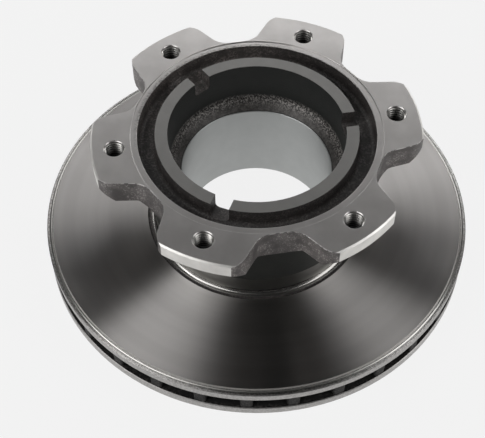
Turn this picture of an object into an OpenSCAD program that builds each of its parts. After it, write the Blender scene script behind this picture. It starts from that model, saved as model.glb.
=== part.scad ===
// Ventilated brake disc, one iron casting turned on its working faces. Sizes in millimetres.
// The axis is Z. The lower friction face lies on z = 0 and the mounting face of the lugs looks up.

/* [Friction ring] */
// outside diameter of the ring
disc_d = 290; // [270:1:330]
// thickness over the two friction faces
disc_t = 26; // [23:0.5:34]
// height of the air gap between the plates
vent_h = 10.4; // [7:0.1:13]
// inside diameter of the upper friction face
face_inner_d = 150.4; // [150:0.1:170]
// width of the relieved edge outside each friction face
edge_w = 4.3; // [2:0.1:8]
// depth of the relieved edge below its friction face
edge_step = 1; // [0.4:0.1:2]
// width of the slope that leads down to the relieved edge
edge_slope_w = 0.8; // [0.2:0.1:1.6]
// chamfer at the corners of the rim
rim_chamfer = 0.6; // [0.2:0.1:1.5]
// inside diameter of the lower plate, where the cooling air enters
inlet_d = 166; // [156:1:180]
// number of vanes between the plates
vanes = 30; // [24:1:40]
// thickness of a vane
vane_w = 8.4; // [5:0.1:9]
// distance from the rim to the outer ends of the vanes
vane_setback = 0.8; // [0.5:0.1:8]
// radius of the two corners at the outer end of a vane
vane_corner = 2; // [0.5:0.1:2.4]

/* [Neck] */
// overall height from the lower friction face to the mounting face
total_h = 107.6; // [95:0.1:120]
// diameter of the turned lower part of the neck
neck_d = 139.6; // [134:0.1:139.8]
// diameter of the cast upper part of the neck
neck_cast_d = 141; // [140:0.1:146]
// height from the upper friction face to the top of the turned part
neck_turned_h = 16; // [10:0.5:24]
// diameter of the turned centre bore
bore_d = 99; // [90:0.1:108]
// chamfer at both ends of the bore
bore_chamfer = 0.6; // [0.2:0.1:2]
// height from the lower friction face to the lower end of the neck
neck_foot_z = 9; // [2:0.1:12]
// radius between the neck and the upper plate
foot_fillet = 2.7; // [1.5:0.1:3]
// diameter at which the sloped head of the neck meets the underside of the flange
head_d = 171; // [166:0.5:178]
// width of the relief groove beside the friction face
relief_w = 2.3; // [1.8:0.1:2.6]
// depth of the relief groove
relief_depth = 1.4; // [0.6:0.1:1.7]

/* [Flange] */
// number of lugs
lugs = 6; // [5:1:7]
// diameter over the turned lug tips
lug_circle_d = 212.3; // [206:0.1:230]
// diameter of the circle through the valley floors between the lugs
valley_d = 162.8; // [160:0.1:172]
// width of a lug across the corners of its tip
lug_tip_w = 53.8; // [46:0.1:58]
// angle by which each flank widens towards the centre
flank_angle = 7.6; // [4:0.1:12]
// radius in the valley corners
valley_fillet = 14; // [6:0.5:18]
// radius of the cast corners of a lug
lug_corner = 13; // [8:0.1:14]
// metal turned off the cast end of a lug
tip_stock = 1; // [0.4:0.1:2]
// thickness of the flange
flange_t = 17.4; // [15:0.1:20]
// height of the turned face at a lug tip, above the sloped underside
lug_tip_h = 9.8; // [5:0.1:12]
// chamfer around the turned top of a lug tip
lug_chamfer = 1.1; // [0.3:0.1:2]

/* [Centring ring and groove] */
// outside diameter of the centring ring
ring_outer_d = 130.6; // [126:0.1:134]
// inside diameter of the centring ring
ring_inner_d = 114.4; // [110:0.1:118]
// outside diameter of the groove around the ring
groove_outer_d = 153.2; // [146:0.1:158]
// depth of the groove
groove_depth = 12; // [6:0.5:13]
// radius along the floor of the groove
groove_fillet = 3; // [1:0.1:4.5]
// depth from the mounting face to the foot of the pocket wall inside the ring
pocket_depth = 29.5; // [20:0.5:40]
// height of the cast slope between the pocket wall and the bore
shoulder_h = 6.4; // [3:0.1:10]
// radius between that slope and the pocket wall
pocket_fillet = 4; // [1:0.1:6]
// number of notches in the ring
notches = 3; // [2:1:6]
// width of a notch
notch_w = 12.1; // [6:0.1:18]
// depth of a notch below the mounting face
notch_depth = 11.4; // [6:0.1:11.6]
// radius in the lower corners of a notch
notch_fillet = 2.6; // [1:0.1:3]
// diameter of the lowered band of the flange face, around the groove
band_d = 161.6; // [158:0.1:162]
// depth by which that band lies below the mounting face
band_depth = 0.4; // [0.2:0.1:1]

/* [Bolt holes] */
// diameter of the bolt circle
bolt_circle_d = 182.5; // [178:0.1:188]
// core diameter of a threaded hole
bolt_hole_d = 12.4; // [8:0.1:14]
// chamfer at the mouth of a hole
bolt_chamfer = 0.5; // [0.3:0.1:1.5]

/* [Hidden] */
$fn = 128;
over = 1;
arc_steps = 10;
iron = [0.55, 0.55, 0.54];

disc_r = disc_d / 2;
face_r = disc_r - edge_w;
plate_t = (disc_t - vent_h) / 2;
inlet_r = inlet_d / 2;
face_inner_r = face_inner_d / 2;
neck_r = neck_d / 2;
neck_cast_r = neck_cast_d / 2;
head_r = head_d / 2;
bore_r = bore_d / 2;
tip_r = lug_circle_d / 2;
cast_tip_r = tip_r + tip_stock;
flange_under = total_h - flange_t;
head_foot = flange_under - head_r + neck_cast_r;
tip_under = total_h - lug_tip_h;
tip_slope = flange_t - lug_tip_h;
ring_outer_r = ring_outer_d / 2;
ring_inner_r = ring_inner_d / 2;
groove_outer_r = groove_outer_d / 2;
groove_floor = total_h - groove_depth;
pocket_z = total_h - pocket_depth;
bolt_r = bolt_hole_d / 2;

// points of an arc from one angle to another
function arc(centre, r, from, to) = [
    for (i = [0 : arc_steps])
        centre + r * [cos(from + (to - from) * i / arc_steps), sin(from + (to - from) * i / arc_steps)]
];
function turned(points, a) = [
    for (p = points) [p[0] * cos(a) - p[1] * sin(a), p[0] * sin(a) + p[1] * cos(a)]
];
function mirrored(points) = [for (i = [len(points) - 1 : -1 : 0]) [points[i][0], -points[i][1]]];

// One half of a lug about the x axis: the valley fillet, then the cast corner of the tip.
// The flank passes through the tip corner and leans by flank_angle from the axis of the lug.
tip_half_angle = asin(lug_tip_w / 2 / tip_r);
flank_offset = tip_r * sin(tip_half_angle + flank_angle);
valley_r = valley_d / 2;
valley_turn = asin((flank_offset + valley_fillet) / (valley_r + valley_fillet)) - flank_angle;
valley_centre = (valley_r + valley_fillet) * [cos(valley_turn), sin(valley_turn)];
corner_turn = asin((flank_offset - lug_corner) / (cast_tip_r - lug_corner)) - flank_angle;
corner_centre = (cast_tip_r - lug_corner) * [cos(corner_turn), sin(corner_turn)];
tip_overshoot = (cast_tip_r + over) / cos(corner_turn) * [cos(corner_turn), sin(corner_turn)];
half_lug = concat(
    [tip_overshoot],
    arc(corner_centre, lug_corner, corner_turn, 90 - flank_angle),
    arc(valley_centre, valley_fillet, -90 - flank_angle, valley_turn - 180)
);
lug_outline = concat(mirrored(half_lug), half_lug);

// The plan of the casting: all lugs in a row around the axis.
module star() {
    polygon([for (k = [0 : lugs - 1]) each turned(lug_outline, k * 360 / lugs)]);
}

// One friction plate, lying face down on z = 0, from the given inner radius to the rim.
module plate(inner_r) {
    rotate_extrude()
        polygon([
            [inner_r, 0],
            [face_r, 0],
            [face_r + edge_slope_w, edge_step],
            [disc_r - rim_chamfer, edge_step],
            [disc_r, edge_step + rim_chamfer],
            [disc_r, plate_t - rim_chamfer],
            [disc_r - rim_chamfer, plate_t],
            [inner_r, plate_t]
        ]);
}

// One vane, from the air inlet to just inside the rim. The inner end is round, the outer one blunt.
module vane() {
    inner_end = inlet_r + vane_w / 2;
    outer_end = disc_r - vane_setback;
    corner_x = outer_end - vane_corner;
    corner_y = vane_w / 2 - vane_corner;
    translate([0, 0, plate_t - over])
        linear_extrude(vent_h + 2 * over) {
            translate([inner_end, -vane_w / 2])
                square([corner_x - inner_end, vane_w]);
            translate([corner_x - over, -corner_y])
                square([vane_corner + over, 2 * corner_y]);
            for (side = [-1, 1])
                translate([corner_x, side * corner_y])
                    circle(r = vane_corner);
            translate([inner_end, 0])
                circle(d = vane_w);
        }
}

// Both plates and the vanes between them. The upper plate starts inside the neck wall.
module friction_ring() {
    plate(inlet_r);
    translate([0, 0, disc_t])
        mirror([0, 0, 1])
            plate((bore_r + neck_r) / 2);
    for (k = [0 : vanes - 1])
        rotate((k + 0.5) * 360 / vanes)
            vane();
}

// The tube: a foot fillet on the upper plate, the turned part, then the thicker cast part.
module neck() {
    foot_centre = [neck_r + foot_fillet, disc_t + foot_fillet];
    turned_top = disc_t + neck_turned_h;
    rotate_extrude()
        polygon(concat(
            [
                [bore_r, neck_foot_z],
                [neck_r, neck_foot_z],
                [neck_r, disc_t - over],
                [neck_r + foot_fillet, disc_t - over]
            ],
            arc(foot_centre, foot_fillet, -90, -180),
            [
                [neck_r, turned_top],
                [neck_cast_r, turned_top + neck_cast_r - neck_r],
                [neck_cast_r, head_foot + over],
                [bore_r, head_foot + over]
            ]
        ));
}

// The flange and the sloped head under it, within the star outline. Top and lug tips are turned.
module flange() {
    intersection() {
        rotate_extrude()
            polygon([
                [bore_r, head_foot],
                [neck_cast_r, head_foot],
                [head_r, flange_under],
                [tip_r - tip_slope, flange_under],
                [tip_r, tip_under],
                [tip_r, total_h - lug_chamfer],
                [tip_r - lug_chamfer, total_h],
                [bore_r, total_h]
            ]);
        translate([0, 0, head_foot - over])
            linear_extrude(total_h - head_foot + 2 * over)
                star();
    }
}

// Everything turned out of the middle: the bore, the cast slope above it and the pocket.
module bore_and_pocket() {
    rise = atan(shoulder_h / (ring_inner_r - bore_r - bore_chamfer));
    fillet_z = pocket_z + pocket_fillet * (1 / cos(rise) - tan(rise));
    rotate_extrude()
        polygon(concat(
            [
                [0, neck_foot_z - over],
                [bore_r + bore_chamfer + over, neck_foot_z - over],
                [bore_r, neck_foot_z + bore_chamfer],
                [bore_r, pocket_z - shoulder_h - bore_chamfer],
                [bore_r + bore_chamfer, pocket_z - shoulder_h]
            ],
            arc([ring_inner_r - pocket_fillet, fillet_z], pocket_fillet, rise - 90, 0),
            [
                [ring_inner_r, total_h + over],
                [0, total_h + over]
            ]
        ));
}

// The groove around the centring ring, with a rounded floor.
module groove() {
    floor_z = groove_floor + groove_fillet;
    rotate_extrude()
        polygon(concat(
            arc([ring_outer_r + groove_fillet, floor_z], groove_fillet, 180, 270),
            arc([groove_outer_r - groove_fillet, floor_z], groove_fillet, 270, 360),
            [
                [groove_outer_r, total_h + over],
                [ring_outer_r, total_h + over]
            ]
        ));
}

// One notch through the centring ring, from inside the pocket to the middle of the groove.
module notch() {
    span = (ring_outer_r + groove_outer_r) / 2 - bore_r;
    translate([bore_r, 0, total_h - notch_depth])
        rotate([90, 0, 90])
            linear_extrude(span)
                polygon(concat(
                    arc([notch_fillet - notch_w / 2, notch_fillet], notch_fillet, 180, 270),
                    arc([notch_w / 2 - notch_fillet, notch_fillet], notch_fillet, 270, 360),
                    [
                        [notch_w / 2, notch_depth + over],
                        [-notch_w / 2, notch_depth + over]
                    ]
                ));
}

// The slightly lower band of the flange face between the groove and the lugs.
module lowered_band() {
    translate([0, 0, total_h - band_depth])
        difference() {
            cylinder(d = band_d, h = band_depth + over);
            translate([0, 0, -over])
                cylinder(r = (ring_outer_r + groove_outer_r) / 2, h = band_depth + 3 * over);
        }
}

// The relief groove between the neck fillet and the upper friction face.
module relief() {
    slope = relief_depth / 2;
    rotate_extrude()
        polygon([
            [face_inner_r - relief_w - slope, disc_t + over],
            [face_inner_r - relief_w, disc_t],
            [face_inner_r - relief_w + slope, disc_t - relief_depth],
            [face_inner_r - slope, disc_t - relief_depth],
            [face_inner_r, disc_t],
            [face_inner_r, disc_t + over]
        ]);
}

// One bolt hole right through the flange, with a chamfered mouth.
module bolt_hole() {
    translate([bolt_circle_d / 2, 0, 0]) {
        translate([0, 0, flange_under - over])
            cylinder(r = bolt_r, h = flange_t + 2 * over);
        translate([0, 0, total_h - bolt_chamfer])
            cylinder(r1 = bolt_r, r2 = bolt_r + bolt_chamfer + over, h = bolt_chamfer + over);
    }
}

module brake_disc() {
    color(iron)
        difference() {
            union() {
                friction_ring();
                neck();
                flange();
            }
            bore_and_pocket();
            groove();
            lowered_band();
            relief();
            for (k = [0 : notches - 1])
                rotate(k * 360 / notches)
                    notch();
            for (k = [0 : lugs - 1])
                rotate(k * 360 / lugs)
                    bolt_hole();
        }
}

brake_disc();
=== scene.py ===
import math

import bpy
from mathutils import Matrix, Vector


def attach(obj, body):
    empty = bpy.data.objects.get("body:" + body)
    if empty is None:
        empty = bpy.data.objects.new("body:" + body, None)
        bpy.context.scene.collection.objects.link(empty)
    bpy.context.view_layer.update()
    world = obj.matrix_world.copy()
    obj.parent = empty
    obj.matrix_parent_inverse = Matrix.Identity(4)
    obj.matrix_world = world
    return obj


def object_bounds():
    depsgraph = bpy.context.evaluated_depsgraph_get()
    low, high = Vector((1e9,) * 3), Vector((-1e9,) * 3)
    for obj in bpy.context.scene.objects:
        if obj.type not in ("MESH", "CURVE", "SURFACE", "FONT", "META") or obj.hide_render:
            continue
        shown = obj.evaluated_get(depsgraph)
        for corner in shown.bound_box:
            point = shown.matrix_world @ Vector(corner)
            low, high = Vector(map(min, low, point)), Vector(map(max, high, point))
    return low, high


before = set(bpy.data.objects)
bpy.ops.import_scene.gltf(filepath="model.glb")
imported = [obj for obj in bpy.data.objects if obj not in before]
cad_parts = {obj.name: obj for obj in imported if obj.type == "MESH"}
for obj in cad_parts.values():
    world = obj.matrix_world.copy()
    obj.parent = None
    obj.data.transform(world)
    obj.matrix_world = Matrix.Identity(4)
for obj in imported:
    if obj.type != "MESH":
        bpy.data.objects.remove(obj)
cad_box = [list(corner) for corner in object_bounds()]


# The casting. A vented brake disc is one piece of grey iron, poured in a sand mould that had a core
# for the vents. The skin that no tool has cut keeps the grain of the sand under a thin dark dip
# coat, so it looks brown-grey and pebbly, with bright specks where the blast has bared the iron.
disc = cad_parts["brake_disc"]

SAND_GRAIN = 1.3            # mm across, a little coarser than real moulding sand so that it shows
BLOTCH = 9.0                # mm, patches where the coat lies thicker or thinner
SPECK = 1.1                 # mm, spots that the blast has bared
CAST_SKIN = "#625F5E"
CAST_SKIN_LIGHT = "#787473"
BARE_IRON = "#C9C5C1"
SKIN_ROUNDING = 1.2         # mm, radius that a cast edge keeps


def linear(code):
    """An sRGB hex colour as the linear red, green, blue and alpha that a shader takes."""
    parts = [int(code[i:i + 2], 16) / 255 for i in (1, 3, 5)]
    return [c / 12.92 if c <= 0.04045 else ((c + 0.055) / 1.055) ** 2.4 for c in parts] + [1.0]


def add(tree, kind, settings=None, links=None):
    """Adds one node, sets its properties, and fills its inputs with values or with other sockets."""
    node = tree.nodes.new("ShaderNode" + kind)
    for name, value in (settings or {}).items():
        setattr(node, name, value)
    for name, value in (links or {}).items():
        if isinstance(value, bpy.types.NodeSocket):
            tree.links.new(value, node.inputs[name])
        else:
            node.inputs[name].default_value = value
    return node


iron = bpy.data.materials.new("grey iron casting, cast and turned")
iron.use_nodes = True
tree = iron.node_tree
tree.nodes.clear()

place = add(tree, "TexCoord").outputs["Object"]
in_mm = add(tree, "VectorMath", {"operation": "SCALE"}, {0: place, "Scale": 1000.0}).outputs["Vector"]
axes = add(tree, "SeparateXYZ", links={0: in_mm})
height = axes.outputs["Z"]
flat = add(tree, "CombineXYZ", links={"X": axes.outputs["X"], "Y": axes.outputs["Y"]}).outputs[0]
radius = add(tree, "VectorMath", {"operation": "LENGTH"}, {0: flat}).outputs["Value"]
plain_normal = add(tree, "NewGeometry").outputs["Normal"]
facing = add(tree, "SeparateXYZ", links={0: plain_normal}).outputs["Z"]


def above(value, edge, soft=0.05):
    """1 where value is over edge, 0 where it is under, with a soft step of that width."""
    return add(tree, "MapRange", {"interpolation_type": "SMOOTHSTEP"},
               {0: value, 1: edge - soft, 2: edge + soft, 3: 0.0, 4: 1.0}).outputs[0]


def product(*factors):
    """All factors multiplied together."""
    total = factors[0]
    for factor in factors[1:]:
        total = add(tree, "Math", {"operation": "MULTIPLY"}, {0: total, 1: factor}).outputs[0]
    return total


def tinted(mask, dark, light):
    """A colour that goes from dark to light as the mask goes from 0 to 1."""
    ends = {name: linear(end) if isinstance(end, str) else end for name, end in ((6, dark), (7, light))}
    return add(tree, "Mix", {"data_type": "RGBA"}, {0: mask, **ends}).outputs[2]


def mottle(size, detail=2.0, roughness=0.5):
    """A cloudy pattern with patches of that size in millimetres."""
    return add(tree, "TexNoise", links={"Vector": in_mm, "Scale": 1 / size, "Detail": detail,
                                        "Roughness": roughness}).outputs[0]


sand = mottle(SAND_GRAIN, 3.0, 0.6)
blotches = mottle(BLOTCH)
specks = product(above(mottle(SPECK, 1.0), 0.6, 0.05), above(blotches, 0.47, 0.12))
skin_colour = tinted(above(blotches, 0.5, 0.16), CAST_SKIN, CAST_SKIN_LIGHT)
skin_colour = tinted(product(specks, 0.42), skin_colour, BARE_IRON)
rounded_skin = add(tree, "Bevel", {"samples": 4}, {"Radius": SKIN_ROUNDING / 1000}).outputs[0]
cast_grain = add(tree, "Bump", links={
    "Strength": 0.45, "Distance": 0.0002, "Height": sand, "Normal": rounded_skin}).outputs[0]
cast_skin = add(tree, "BsdfPrincipled", links={
    "Base Color": skin_colour, "Metallic": 0.95, "Roughness": 0.52, "Normal": cast_grain}).outputs[0]


# The dipped pockets. The groove, the notches, the inside of the ring, the vents and the relief at
# the neck's foot keep a thick black dip coat, because no tool or brake pad ever wipes them. The inside
# of the ring, the vents and the ends of the vanes are drawn darker still, as painted shade. The coat
# is half gloss and lies over the sand grain; its light dots are partly grain and partly painted glints.
DIP_BLACK = "#33302F"
DIP_GREY = "#5B5755"
LIGHTER_SIDE_DIP_BLACK = "#454240"
LIGHTER_SIDE_DIP_GREY = "#7C7471"
LIGHTER_SIDE = (-0.5, 0.866, 0.0)      # the side of the disc towards which the coat is drawn lighter
COAT_PATCH = 6.0                    # mm, patches in which the sand grain shows through the coat
VANE_SPOT = 1.2                     # mm, spots of bare skin on the ends of the vanes
VENT_SPOT = 2.2                     # mm, spots of thinner coat inside the vents

bearing = add(tree, "VectorMath", {"operation": "NORMALIZE"}, {0: flat}).outputs[0]
to_lighter_side = add(tree, "VectorMath", {"operation": "DOT_PRODUCT"},
                   {0: bearing, 1: LIGHTER_SIDE}).outputs["Value"]
lighter_side = add(tree, "MapRange", {"interpolation_type": "SMOOTHSTEP"},
                {0: to_lighter_side, 1: 0.3, 2: 0.9, 3: 0.0, 4: 1.0}).outputs[0]
dip_dark = tinted(lighter_side, DIP_BLACK, LIGHTER_SIDE_DIP_BLACK)
dip_light = tinted(lighter_side, DIP_GREY, LIGHTER_SIDE_DIP_GREY)
# The light dots of the coat are partly grain showing through and partly painted glints.
grain_and_painted_glints = product(above(sand, 0.55, 0.13), above(mottle(COAT_PATCH), 0.45, 0.2))
fine_bumps = add(tree, "Bump", links={"Strength": 0.5, "Distance": 0.0002, "Height": sand}).outputs[0]
coarse_bumps = add(tree, "Bump", links={"Strength": 1.0, "Distance": 0.0003, "Height": sand}).outputs[0]
core_bumps = add(tree, "Bump", links={"Strength": 1.0, "Distance": 0.0004, "Height": sand}).outputs[0]
coated = add(tree, "BsdfPrincipled", links={
    "Base Color": tinted(grain_and_painted_glints, dip_dark, dip_light), "Metallic": 0.0, "Roughness": 0.55,
    "Normal": coarse_bumps}).outputs[0]
# The cast neck and head under the flange, drawn near black as painted shade.
neck_painted_shade = add(tree, "BsdfPrincipled", links={
    "Base Color": tinted(blotches, "#1E201E", "#2B2C29"), "Metallic": 0.0, "Roughness": 0.5,
    "Normal": fine_bumps}).outputs[0]
# The inside of the centring ring: black coat drawn darker still, as painted shade.
black_coat_and_painted_shade = add(tree, "BsdfPrincipled", links={
    "Base Color": tinted(blotches, "#151715", "#212220"), "Metallic": 0.0, "Roughness": 0.5,
    "Specular IOR Level": 0.25, "Normal": fine_bumps}).outputs[0]
# The ends of the vanes, drawn near black as painted shade inside the vent openings, with bare spots.
vane_end_painted_shade = add(tree, "BsdfPrincipled", links={
    "Base Color": tinted(above(mottle(VANE_SPOT), 0.56, 0.1), "#0D0C0C", "#423F3D"),
    "Metallic": 0.0, "Roughness": 0.65, "Specular IOR Level": 0.3}).outputs[0]
# The inside of the vents, drawn near black as painted shade.
vent_painted_shade = add(tree, "BsdfPrincipled", links={
    "Base Color": tinted(above(mottle(VENT_SPOT), 0.6, 0.06), "#0C0B0B", "#2A2827"),
    "Metallic": 0.0, "Roughness": 0.7, "Normal": core_bumps}).outputs[0]

# The cast slope above the bore is only thinly coated, and its grain stands out in light and dark dots
# that fade towards the turned bore. The light dots are partly grain and partly painted glints.
SLOPE_DOT = 1.1             # mm
SLOPE_STREAK = 3.5          # mm
DOTS_START = 52.5           # mm radius
DOTS_FULL = 56.0

slope_dots_and_painted_glints = tinted(above(mottle(SLOPE_DOT, 2.0, 0.7), 0.53, 0.09), "#2B2928", "#94908C")
slope_streaks = tinted(above(mottle(SLOPE_STREAK, 3.0, 0.6), 0.5, 0.2), "#383634", "#5A5755")
slope_fade = add(tree, "MapRange", links={
    0: radius, 1: DOTS_START, 2: DOTS_FULL, 3: 0.12, 4: 1.0}).outputs[0]
rough_slope = add(tree, "BsdfPrincipled", links={
    "Base Color": tinted(slope_fade, slope_streaks, slope_dots_and_painted_glints), "Metallic": 0.35, "Roughness": 0.45,
    "Normal": coarse_bumps}).outputs[0]


# The turned iron. The friction faces and the bands outside them are cut on a lathe, which leaves
# fine rings around the axis. They spread each highlight outwards along the radius, so that the
# face shows bright and dark fans.
FEED = 0.9                  # mm between the rings, drawn coarser than the real 0.2 mm so that they show
TOOL_WEAR = 7.0             # mm, width of the broad rings that come with the wear of the tool
EDGE_BREAK = 0.4            # mm, radius that a turned edge keeps
LAY_TURN = 0.25             # of a turn, which lays the sheen across the rings
LINE_INSIDE = 141.9         # mm radius, where the bright line beside the rim begins
LINE_OUTSIDE = 143.1
LINE_LEAN = 1.5             # how far the outer side of that line leans outwards
CORNER_RISE = 1.2           # how far the rim's worn corner looks upwards

across = add(tree, "CombineXYZ", links={"X": radius, "Y": height}).outputs[0]
rings = add(tree, "TexNoise", {"noise_dimensions": "2D"},
            {"Vector": across, "Scale": 1 / FEED, "Detail": 2.0, "Roughness": 0.7}).outputs[0]
broad_rings = add(tree, "TexNoise", {"noise_dimensions": "2D"},
                  {"Vector": across, "Scale": 1 / TOOL_WEAR, "Detail": 1.0}).outputs[0]
lay = add(tree, "Tangent", {"direction_type": "RADIAL", "axis": "Z"}).outputs[0]
softened = add(tree, "Bevel", {"samples": 4}, {"Radius": EDGE_BREAK / 1000}).outputs[0]
ridged = add(tree, "Bump", links={"Strength": 0.25, "Distance": 0.00002, "Height": rings}).outputs[0]
turned = add(tree, "BsdfPrincipled", links={
    "Base Color": tinted(broad_rings, "#BFBCBA", "#CCC9C7"), "Metallic": 1.0, "Roughness": 0.377,
    "Anisotropic": 1.0, "Anisotropic Rotation": LAY_TURN, "Tangent": lay, "Normal": ridged}).outputs[0]
turned_band = add(tree, "BsdfPrincipled", links={
    "Base Color": tinted(above(sand, 0.5, 0.15), "#B5B3B0", "#EEECE9"), "Metallic": 1.0,
    "Roughness": 0.377, "Anisotropic": 1.0, "Anisotropic Rotation": LAY_TURN, "Tangent": lay,
    "Normal": ridged}).outputs[0]

# A bright line runs around the face beside the rim, where the tool left a shallow lip that leans
# outwards, and the short slope inside it is dull.
outward = add(tree, "VectorTransform", {
    "vector_type": "NORMAL", "convert_from": "OBJECT", "convert_to": "WORLD"}, {0: bearing}).outputs[0]
lean = add(tree, "MapRange", links={
    0: radius, 1: LINE_INSIDE, 2: LINE_OUTSIDE, 3: 0.0, 4: LINE_LEAN}).outputs[0]
leaning = add(tree, "VectorMath", {"operation": "SCALE"}, {0: outward, "Scale": lean}).outputs["Vector"]
tilted = add(tree, "VectorMath", {"operation": "ADD"}, {0: leaning, 1: plain_normal}).outputs[0]
line_normal = add(tree, "VectorMath", {"operation": "NORMALIZE"}, {0: tilted}).outputs[0]
polished_line = add(tree, "BsdfPrincipled", links={
    "Base Color": linear("#CBC9C5"), "Metallic": 1.0, "Roughness": 0.31,
    "Normal": line_normal}).outputs[0]
dull_slope = add(tree, "BsdfPrincipled", links={
    "Base Color": tinted(sand, "#A09E9B", "#C4C2BE"), "Metallic": 1.0, "Roughness": 0.6}).outputs[0]

# The rim and the lug tips are turned with a coarser feed, and look pale and even. The rim's upper
# corner is worn round, so it shines as an edge that leans outwards.
raised = add(tree, "VectorMath", {"operation": "ADD"}, {0: outward, 1: (0.0, 0.0, CORNER_RISE)}).outputs[0]
corner_normal = add(tree, "VectorMath", {"operation": "NORMALIZE"}, {0: raised}).outputs[0]
worn_corner = add(tree, "BsdfPrincipled", links={
    "Base Color": tinted(above(sand, 0.5, 0.15), "#757371", "#A3A19F"), "Metallic": 1.0,
    "Roughness": 0.42, "Normal": corner_normal}).outputs[0]
turned_rim = add(tree, "BsdfPrincipled", links={
    "Base Color": tinted(above(sand, 0.5, 0.2), "#9B9997", "#B9B7B5"), "Metallic": 1.0,
    "Roughness": 0.45, "Anisotropic": 0.55, "Anisotropic Rotation": LAY_TURN, "Tangent": lay,
    "Normal": softened}).outputs[0]
turned_tips = add(tree, "BsdfPrincipled", links={
    "Base Color": tinted(blotches, "#C9C7C4", "#F2F0EC"), "Metallic": 1.0,
    "Roughness": 0.47, "Anisotropic": 0.4, "Anisotropic Rotation": LAY_TURN, "Tangent": lay,
    "Normal": softened}).outputs[0]

# The foot of the neck is turned with a form tool and comes out nearly smooth, as does the bore, which
# is bored last and has the coolest tone.
smooth_foot = add(tree, "BsdfPrincipled", links={
    "Base Color": linear("#ABA9A6"), "Metallic": 1.0, "Roughness": 0.24,
    "Normal": softened}).outputs[0]
# The turned neck above its fillet: the same iron drawn darker, as painted shade.
turned_neck_painted_shade = add(tree, "BsdfPrincipled", links={
    "Base Color": tinted(blotches, "#868683", "#949390"), "Metallic": 1.0, "Roughness": 0.34,
    "Normal": softened}).outputs[0]
bored = add(tree, "BsdfPrincipled", links={
    "Base Color": tinted(blotches, "#B4B6B5", "#BEC0BF"), "Metallic": 1.0,
    "Roughness": 0.5, "Anisotropic": 0.6, "Anisotropic Rotation": LAY_TURN, "Tangent": lay,
    "Normal": softened}).outputs[0]


# The flange. The tops of the lugs are finished smoother than the friction face and show no clear
# lay, so their sheen follows the light from the back of the disc to its front. The centring ring's
# top is duller, with a trace of the dip coat.
FLANGE_CLOUD = 16.0         # mm
GRAIN_EDGE = 78.4           # mm radius, to which the grain of the groove's edge reaches


def below(value, edge, soft=0.05):
    """1 where value is under edge, 0 where it is over."""
    return add(tree, "Math", {"operation": "SUBTRACT"}, {0: 1.0, 1: above(value, edge, soft)}).outputs[0]


flange_clouds = above(mottle(FLANGE_CLOUD, 3.0), 0.5, 0.25)
groove_edge = product(below(radius, GRAIN_EDGE, 1.4), lighter_side, 0.8)
flange_tone = tinted(flange_clouds, "#C5C2C0", "#D2CFCD")
grainy_tone = tinted(above(sand, 0.47, 0.14), "#5B5754", "#BDBAB7")
flange_finish = add(tree, "BsdfPrincipled", links={
    "Base Color": tinted(groove_edge, flange_tone, grainy_tone), "Metallic": 1.0, "Roughness": 0.35,
    "Normal": softened}).outputs[0]
ring_finish = add(tree, "BsdfPrincipled", links={
    "Base Color": tinted(blotches, "#81807E", "#8B8A88"), "Metallic": 1.0, "Roughness": 0.5,
    "Normal": softened}).outputs[0]


# Where each finish lies, in bands of radius and height. A tool or the mould made each surface of the
# casting, and these are the borders between them, with a little overlap so that none shows a gap.
RIM = cad_box[1][0] * 1000          # mm radius
FLANGE_TOP = cad_box[1][2] * 1000   # mm above the lower friction face, as the next eight lines
UPPER_FACE = 26.0
VENT_FLOOR, VENT_ROOF = 7.8, 18.2
NECK_STEP = 42.0                    # where the lathe stopped and the cast neck begins
NECK_SHADE_FROM = 29.0                   # above which the turned neck is drawn darker, as painted shade
BORE_FOOT, BORE_TOP = 5.0, 71.7
SLOPE_TOP = BORE_TOP + 8.6          # where the cast slope turns into the wall of the pocket
HEAD_TOP = 86.0                     # up to which the painted shade of the neck reaches
TIP_FOOT = FLANGE_TOP - 9.8         # lower edge of a turned lug tip
BORE = 49.5                         # mm radius, as the lines down to LUG_TIP
IN_NECK_WALL = BORE + 8             # between the bore and the outside of the neck
RING_INSIDE, RING_OUTSIDE = 57.2, 65.3
VENT_INSIDE = 60.0                  # further in than the air gap reaches
RELIEF_INSIDE = 72.9
FACE_INSIDE, FACE_OUTSIDE = 75.2, 140.7
GROOVE_OUTSIDE = 76.6
LOW_BAND = 80.8                     # outside of the lowered band around the groove
NECK_SHADE_END = 80.0                # where the painted shade on the neck fades out under the flange
HEAD_OUTSIDE = 86.0                 # where the sloped head of the neck meets the flange
HOLES_OUTSIDE = 99.0                # outside the chamfers of the bolt holes
VALLEYS_INSIDE = 79.0               # just inside the floors of the valleys between the lugs
VANES_SEEN = 140.0                  # from here out, the ends of the vanes show at the rim
BAND_INSIDE = 141.5
VANE_END = 144.2
LUG_TIP = 106.15
EDGE_SPOT = 2.2                     # mm, spots where the cutter broke the cast edge of a lug


def laid(under, over, mask):
    """One finish over another where the mask is 1."""
    return add(tree, "MixShader", links={0: mask, 1: under, 2: over}).outputs[0]


def between(value, low, high, soft=0.05):
    """1 where value lies between low and high."""
    return product(above(value, low, soft), below(value, high, soft))


def either(first, second):
    """The larger of two masks."""
    return add(tree, "Math", {"operation": "MAXIMUM"}, {0: first, 1: second}).outputs[0]


def behind_a_face(shallow, deep):
    """1 between two depths behind the upper or the lower friction face, in millimetres."""
    return either(between(height, UPPER_FACE - deep, UPPER_FACE - shallow), between(height, shallow, deep))


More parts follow.
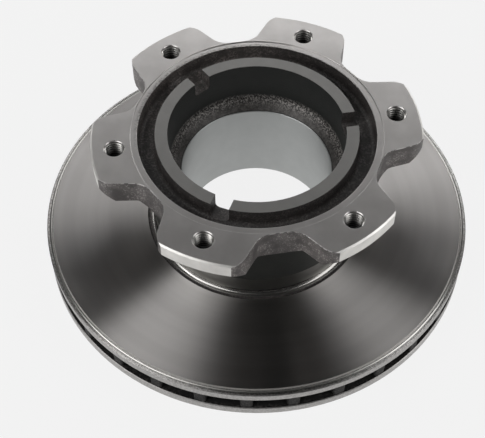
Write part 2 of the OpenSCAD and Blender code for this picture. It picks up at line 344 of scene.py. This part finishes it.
upward = above(facing, 0.85)
steep = below(facing, 0.5)
sloping = above(facing, 0.5)
pocket_heights = between(height, BORE_TOP - 0.7, FLANGE_TOP - 0.25)
pockets = product(between(radius, BORE + 0.4, GROOVE_OUTSIDE + 0.05), pocket_heights)
ring_wall = product(between(radius, BORE + 0.4, RING_INSIDE + 0.1), pocket_heights)
neck = product(between(radius, IN_NECK_WALL, HEAD_OUTSIDE), between(height, NECK_STEP - 0.05, HEAD_TOP),
               below(radius, NECK_SHADE_END, 4.0))
relief = product(between(radius, RELIEF_INSIDE - 0.05, FACE_INSIDE + 0.05),
                 between(height, UPPER_FACE - 2.0, UPPER_FACE - 0.05))
air_gap = between(height, VENT_FLOOR - 0.1, VENT_ROOF + 0.1)
vane_ends = product(air_gap, above(radius, VANES_SEEN))
vents = product(air_gap, between(radius, VENT_INSIDE, VANE_END - 1.2, 0.8))
slope = product(between(radius, BORE + 0.7, RING_INSIDE + 0.1),
                between(height, BORE_TOP - 0.5, SLOPE_TOP, 1.4))
face_band = product(between(radius, FACE_INSIDE - 0.05, FACE_OUTSIDE + 0.1), behind_a_face(-1.0, 0.06))
edge_band = product(between(radius, BAND_INSIDE - 0.1, RIM + 1.0), behind_a_face(0.1, 1.3))
bright_line = product(edge_band, between(radius, LINE_INSIDE, LINE_OUTSIDE, 0.15))
edge_slope = product(between(radius, FACE_OUTSIDE + 0.02, BAND_INSIDE), behind_a_face(0.02, 1.1))
rim_corner = product(above(radius, RIM - 0.65), between(height, UPPER_FACE - 2.1, UPPER_FACE - 0.7))
rim_wall = product(above(radius, RIM - 0.55), between(facing, -0.8, 0.8),
                   either(between(height, VENT_ROOF, UPPER_FACE - 2.0), between(height, 1.05, VENT_FLOOR)))
neck_foot = product(between(radius, IN_NECK_WALL, RELIEF_INSIDE - 0.05),
                    between(height, UPPER_FACE - 0.05, NECK_STEP + 0.05))
neck_above_foot = product(neck_foot, above(height, NECK_SHADE_FROM, 0.4))
bore_wall = product(below(radius, BORE + 0.35), between(height, BORE_FOOT, BORE_TOP + 0.4))
tip_chamfer = product(above(radius, LUG_TIP - 1.2), above(height, FLANGE_TOP - 1.15),
                      between(facing, 0.5, 0.85))
lug_tips = either(product(above(radius, LUG_TIP - 0.12), between(height, TIP_FOOT - 0.2, FLANGE_TOP)),
                  tip_chamfer)
bare_edge = product(above(height, FLANGE_TOP - 0.7, 0.3), steep, above(mottle(EDGE_SPOT), 0.5, 0.07),
                    above(radius, VALLEYS_INSIDE), below(radius, LUG_TIP - 0.2))
hole_mouths = product(sloping, below(radius, HOLES_OUTSIDE))
flange_top = product(above(height, FLANGE_TOP - 1.2), above(radius, GROOVE_OUTSIDE - 0.1),
                     either(either(upward, hole_mouths), below(radius, LOW_BAND + 0.4)))
ring_top = product(above(height, FLANGE_TOP - 0.3), upward,
                   between(radius, RING_INSIDE - 0.1, RING_OUTSIDE + 0.1))

finish = laid(cast_skin, coated, either(pockets, relief))
finish = laid(finish, black_coat_and_painted_shade, ring_wall)
finish = laid(finish, neck_painted_shade, neck)
finish = laid(finish, vane_end_painted_shade, vane_ends)
finish = laid(finish, vent_painted_shade, vents)
finish = laid(finish, rough_slope, slope)
finish = laid(finish, turned, face_band)
finish = laid(finish, turned_band, edge_band)
finish = laid(finish, polished_line, bright_line)
finish = laid(finish, dull_slope, edge_slope)
finish = laid(finish, worn_corner, rim_corner)
finish = laid(finish, turned_rim, rim_wall)
finish = laid(finish, smooth_foot, neck_foot)
finish = laid(finish, turned_neck_painted_shade, neck_above_foot)
finish = laid(finish, bored, bore_wall)
finish = laid(finish, turned_tips, lug_tips)
finish = laid(finish, flange_finish, either(flange_top, bare_edge))
finish = laid(finish, ring_finish, ring_top)


# The bolt holes. Each lug has one tapped hole, and the thread inside it is a ridge that winds down
# the wall, cut bright by the tap. Deeper down, the wall between the turns and the thread itself are
# drawn dark, as painted shade.
LUGS = 6
BOLT_CIRCLE = 91.25         # mm radius of the circle of the holes
HOLE = 6.2                  # mm radius
PITCH = 2.0
RIDGE = 0.75                # mm that a turn of the thread stands into the hole
ROOT = 0.06                 # mm that the foot of the ridge sits in the iron
RIDGE_FOOT = 0.6            # mm, half the width of the ridge at its foot
RIDGE_CREST = 0.15          # mm, half the width at its crest
THREAD_TOP, THREAD_FOOT = 106.6, 91.0
HOLE_FOOT = 85.0            # mm height, under the lowest point of a hole
MOUTH = 105.8               # mm height, below which the wall of a hole is drawn black as painted shade
THREAD_SHADED, THREAD_LIT = 97.0, 106.0  # mm heights between which the painted shade on the thread fades out
CHATTER = 1.2               # mm, length of the marks that the tap left
STEPS = 40                  # steps in one turn

turn = add(tree, "Math", {"operation": "ARCTAN2"}, {0: axes.outputs["Y"], 1: axes.outputs["X"]}).outputs[0]
half_lug_on = add(tree, "Math", {"operation": "ADD"}, {0: turn, 1: math.tau / LUGS / 2}).outputs[0]
nearest = add(tree, "Math", {"operation": "SNAP"}, {0: half_lug_on, 1: math.tau / LUGS}).outputs[0]
back = add(tree, "Math", {"operation": "MULTIPLY"}, {0: nearest, 1: -1.0}).outputs[0]
on_lug = add(tree, "VectorRotate", {"rotation_type": "Z_AXIS"}, {"Vector": flat, "Angle": back}).outputs[0]
from_bolt = add(tree, "VectorMath", {"operation": "DISTANCE"},
                {0: on_lug, 1: (BOLT_CIRCLE, 0.0, 0.0)}).outputs["Value"]
mouth = above(height, MOUTH, 0.7)
# Below the mouth, the wall of a hole is drawn black, as painted shade.
tapped = add(tree, "BsdfPrincipled", links={
    "Base Color": tinted(mouth, "#1B1A19", "#B5B3B0"), "Metallic": mouth, "Roughness": 0.5}).outputs[0]
hole_walls = product(above(height, HOLE_FOOT), below(from_bolt, HOLE + 0.04, 0.02))
finish = laid(finish, tapped, hole_walls)
add(tree, "OutputMaterial", links={"Surface": finish})
disc.data.materials[0] = iron

points, faces = [], []
turns = (THREAD_TOP - THREAD_FOOT) / PITCH
count = int(turns * STEPS)
for lug in range(LUGS):
    around = lug * math.tau / LUGS
    centre = Vector((BOLT_CIRCLE * math.cos(around), BOLT_CIRCLE * math.sin(around), 0))
    first = len(points)
    for i in range(count + 1):
        way = i / STEPS
        rise = RIDGE * min(1.0, 2 * way, 2 * (turns - way))
        t = math.tau * way
        section = ((-ROOT, -RIDGE_FOOT), (rise, -RIDGE_CREST), (rise, RIDGE_CREST), (-ROOT, RIDGE_FOOT))
        for inward, up in section:
            r = HOLE - inward
            step = Vector((r * math.cos(t), r * math.sin(t), THREAD_FOOT + PITCH * way + up))
            points.append((centre + step) / 1000)
    for i in range(count):
        row = first + 4 * i
        faces += [(row + k, row + (k + 1) % 4, row + 4 + (k + 1) % 4, row + 4 + k) for k in range(4)]
    last = first + 4 * count
    faces += [tuple(range(first + 3, first - 1, -1)), tuple(range(last, last + 4))]
ridges = bpy.data.objects.new("bolt_threads", bpy.data.meshes.new("bolt_threads"))
bpy.context.collection.objects.link(ridges)
ridges.data.from_pydata(points, [], faces)
ridges.data.update()

cut = bpy.data.materials.new("grey iron, tapped thread")
cut.use_nodes = True
tree = cut.node_tree
tree.nodes.clear()
place = add(tree, "TexCoord").outputs["Object"]
in_mm = add(tree, "VectorMath", {"operation": "SCALE"}, {0: place, "Scale": 1000.0}).outputs["Vector"]
chatter = mottle(CHATTER)
marks = add(tree, "Bump", links={"Strength": 0.5, "Distance": 0.00005, "Height": chatter}).outputs[0]
depth = add(tree, "SeparateXYZ", links={0: in_mm}).outputs["Z"]
# The thread darkens downwards between these heights, as painted shade.
out_of_painted_shade = add(tree, "MapRange", links={0: depth, 1: THREAD_SHADED, 2: THREAD_LIT, 3: 0.0, 4: 1.0}).outputs[0]
thread_with_painted_shade = add(tree, "BsdfPrincipled", links={
    "Base Color": tinted(out_of_painted_shade, "#2A2928", tinted(chatter, "#B9B7B3", "#D6D4D0")), "Metallic": 1.0,
    "Roughness": 0.3, "Normal": marks}).outputs[0]
add(tree, "OutputMaterial", links={"Surface": thread_with_painted_shade})
ridges.data.materials.append(cut)
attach(ridges, "root")


# The studio. A pale sweep lies under the disc, and softboxes stand around it: two on the left, one tall
# box on the right, two behind and a strip over the back. The front and the ceiling stay dark.
PAPER = "#F2F2F2"
REACH = 6.0                 # m from the middle to the edge of the sweep
GAP = 0.0005                # m between the sweep and the disc
PAPER_SHARE = 0.93          # share of the sweep's even glow, the rest takes the disc's shadow

corners = [(x * REACH, y * REACH, 0) for x, y in ((-1, -1), (1, -1), (1, 1), (-1, 1))]
floor = bpy.data.objects.new("floor", bpy.data.meshes.new("floor"))
bpy.context.collection.objects.link(floor)
floor.data.from_pydata(corners, [], [(0, 1, 2, 3)])
floor.location.z = -GAP

paper = bpy.data.materials.new("white paper sweep")
paper.use_nodes = True
tree = paper.node_tree
tree.nodes.clear()
rays = add(tree, "LightPath").outputs
seen = either(either(rays["Is Camera Ray"], rays["Is Glossy Ray"]), rays["Is Transmission Ray"])
matt = add(tree, "BsdfDiffuse", links={"Color": linear("#C8C8C8")}).outputs[0]
glow = add(tree, "Emission", links={"Color": linear(PAPER), "Strength": 1.045}).outputs[0]
add(tree, "OutputMaterial", links={"Surface": laid(matt, glow, product(seen, PAPER_SHARE))})
floor.data.materials.append(paper)

world = bpy.data.worlds.new("dark studio")
bpy.context.scene.world = world
world.use_nodes = True
tree = world.node_tree
tree.nodes.clear()
seen = add(tree, "LightPath").outputs["Is Camera Ray"]
dim = add(tree, "Background", links={"Color": linear("#F4F4F4"), "Strength": 0.018}).outputs[0]
pale = add(tree, "Background", links={"Color": linear(PAPER), "Strength": 1.0}).outputs[0]
add(tree, "OutputWorld", links={"Surface": laid(dim, pale, seen)})

AIM = Vector((0, 0, 0.06))
DISTANCE = 1.6              # m from that point to each softbox
SOFTBOXES = {               # direction and height in degrees, width and height in degrees, brightness
    "left": (206.4, 37.7, 39.4, 38.4, 1.84),
    "left edge": (191.0, 39.9, 12.3, 62.1, 1.48),
    "right": (332.4, 22.2, 30.5, 69.0, 1.67),
    "back strip": (77.4, 30.3, 71.2, 13.7, 2.72),
    "back right": (39.6, 25.4, 23.5, 19.7, 1.99),
    "back left": (119.9, 26.4, 19.0, 33.2, 1.51),
}
for name, (azimuth, elevation, wide, tall, brightness) in SOFTBOXES.items():
    light = bpy.data.lights.new("softbox " + name, "AREA")
    light.shape = "RECTANGLE"
    light.size = 2 * DISTANCE * math.tan(math.radians(wide / 2))
    light.size_y = 2 * DISTANCE * math.tan(math.radians(tall / 2))
    light.energy = 4 * light.size * light.size_y * brightness
    box = bpy.data.objects.new("softbox " + name, light)
    bpy.context.collection.objects.link(box)
    a, e = math.radians(azimuth), math.radians(elevation)
    out = Vector((math.cos(e) * math.cos(a), math.cos(e) * math.sin(a), math.sin(e)))
    box.location = AIM + out * DISTANCE
    box.rotation_euler = out.to_track_quat("Z", "Y").to_euler()
    box.visible_camera = False


# The camera stands in front of the disc and looks down on it at 53 degrees, as in the photograph.
PHOTO_WIDTH = 485           # pixels
FOCAL_LENGTH = 1105.858     # pixels of that width

camera = bpy.data.objects.new("camera", bpy.data.cameras.new("camera"))
bpy.context.collection.objects.link(camera)
camera.data.sensor_width = 36.0
camera.data.lens = camera.data.sensor_width * FOCAL_LENGTH / PHOTO_WIDTH
camera.location = (-0.08172, -0.45844, 0.63968)
DOWN, TURN, ROLL = math.radians(53.367), math.radians(-8.934), math.radians(-0.314)
camera.rotation_euler = (Matrix.Rotation(TURN, 3, "Z") @ Matrix.Rotation(math.pi / 2 - DOWN, 3, "X")
                         @ Matrix.Rotation(ROLL, 3, "Z")).to_euler()
bpy.context.scene.camera = camera
bpy.context.scene.view_settings.view_transform = "Standard"
